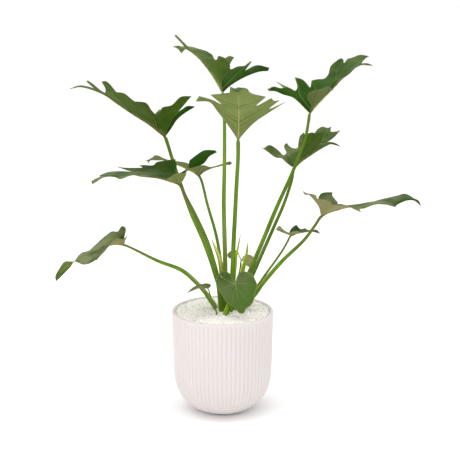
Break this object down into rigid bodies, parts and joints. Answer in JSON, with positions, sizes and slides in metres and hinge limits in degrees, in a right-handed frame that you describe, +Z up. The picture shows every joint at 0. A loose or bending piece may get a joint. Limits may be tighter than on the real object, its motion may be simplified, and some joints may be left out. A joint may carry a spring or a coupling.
{
  "type": "potted xanadu philodendron",
  "caption": "Upright houseplant with lobed leaves on long stalks, standing in a fluted round white planter topped with marble gravel; indoor greenery for a shelf, desk or floor",
  "frame": {"origin": "the centre of the planter's flat foot, on the surface that it stands on", "axes": "+Z up; -Y towards the viewer of the picture, so the small heart-shaped leaf and the pale underside of the front leaf face -Y; +X to that viewer's right"},
  "size_m": [0.552, 0.3262, 0.5871],
  "materials": {
    "pot_ceramic": "matte",
    "potting_mix": "matte",
    "marble_gravel": "matte",
    "crown_bark": "matte",
    "leaf_blade": "satin",
    "stalk_green": "satin",
    "shoot_green": "satin"
  },
  "bodies": {
    "root": {"pot": "pot_ceramic", "potting_mix": "potting_mix", "gravel": "marble_gravel", "crown": "crown_bark", "leaf_1_blade": "leaf_blade", "leaf_2_blade": "leaf_blade", "leaf_3_blade": "leaf_blade", "leaf_4_blade": "leaf_blade", "leaf_5_blade": "leaf_blade", "leaf_6_blade": "leaf_blade", "leaf_7_blade": "leaf_blade", "leaf_8_blade": "leaf_blade", "leaf_9_blade": "leaf_blade", "leaf_10_blade": "leaf_blade", "leaf_11_blade": "leaf_blade", "leaf_12_blade": "leaf_blade", "leaf_13_blade": "leaf_blade", "leaf_14_blade": "leaf_blade", "leaf_1_stalk": "stalk_green", "leaf_2_stalk": "stalk_green", "leaf_3_stalk": "stalk_green", "leaf_4_stalk": "stalk_green", "leaf_5_stalk": "stalk_green", "leaf_6_stalk": "stalk_green", "leaf_7_stalk": "stalk_green", "leaf_8_stalk": "stalk_green", "leaf_9_stalk": "stalk_green", "leaf_10_stalk": "stalk_green", "leaf_11_stalk": "stalk_green", "leaf_12_stalk": "stalk_green", "leaf_13_stalk": "stalk_green", "leaf_14_stalk": "stalk_green", "shoot_1": "shoot_green", "shoot_2": "shoot_green", "shoot_3": "shoot_green", "shoot_4": "shoot_green"}
  },
  "joints": []
}
